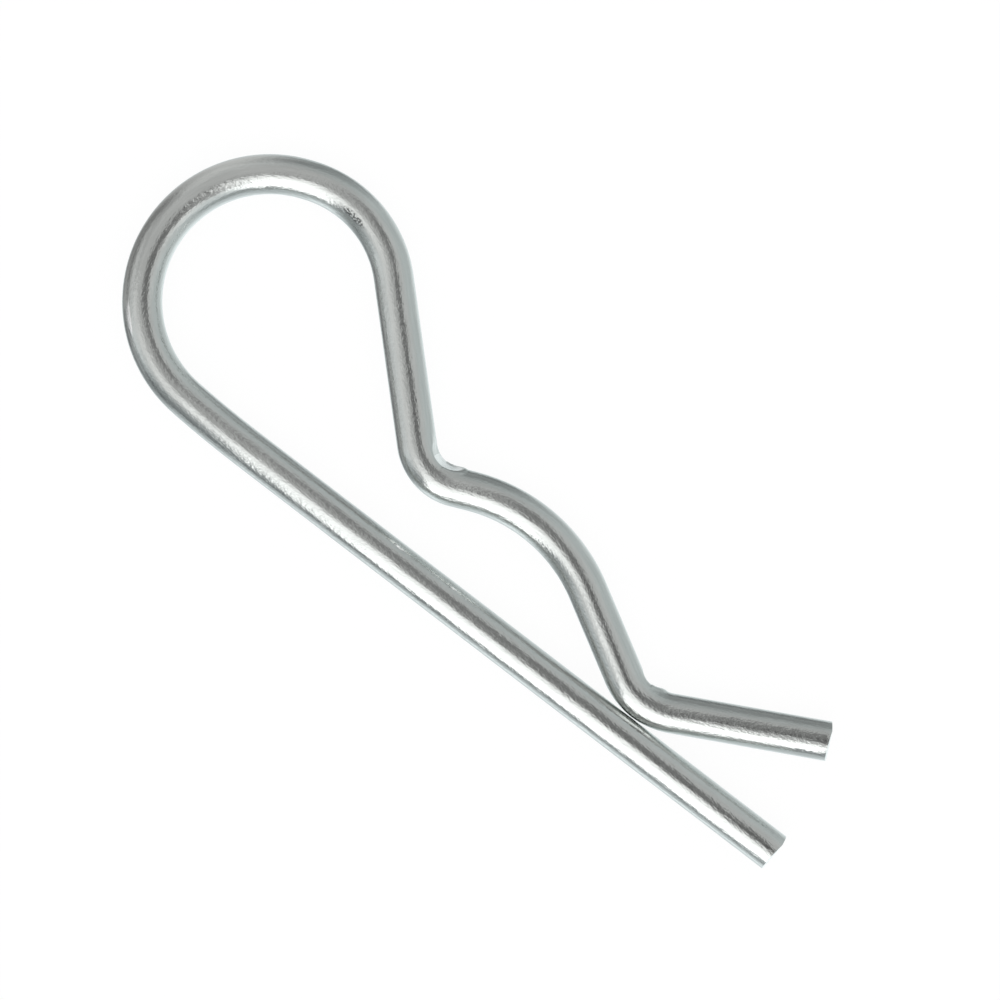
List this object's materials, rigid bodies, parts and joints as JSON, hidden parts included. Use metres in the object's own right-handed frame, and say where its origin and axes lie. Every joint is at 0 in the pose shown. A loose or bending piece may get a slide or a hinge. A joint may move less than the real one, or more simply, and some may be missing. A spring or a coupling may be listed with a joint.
{
  "type": "hitch pin clip",
  "caption": "Spring-wire clip with a round pull head, a straight leg for a shaft's cross hole and a waved leg that grips the shaft.",
  "frame": {"origin": "on the straight leg's axis, where the axis of the held shaft crosses it, under the hump", "axes": "+X along the straight leg to its cut end, +Y from the straight leg to the waved leg, +Z out of the plane of the wire, which lies flat"},
  "size_m": [0.088, 0.0297, 0.004],
  "materials": {
    "zinc_plated_spring_wire": "drawn spring-steel wire with bright clear zinc plating, fine draw lines and light handling marks"
  },
  "bodies": {
    "root": {"r_clip": "zinc_plated_spring_wire"}
  },
  "joints": []
}
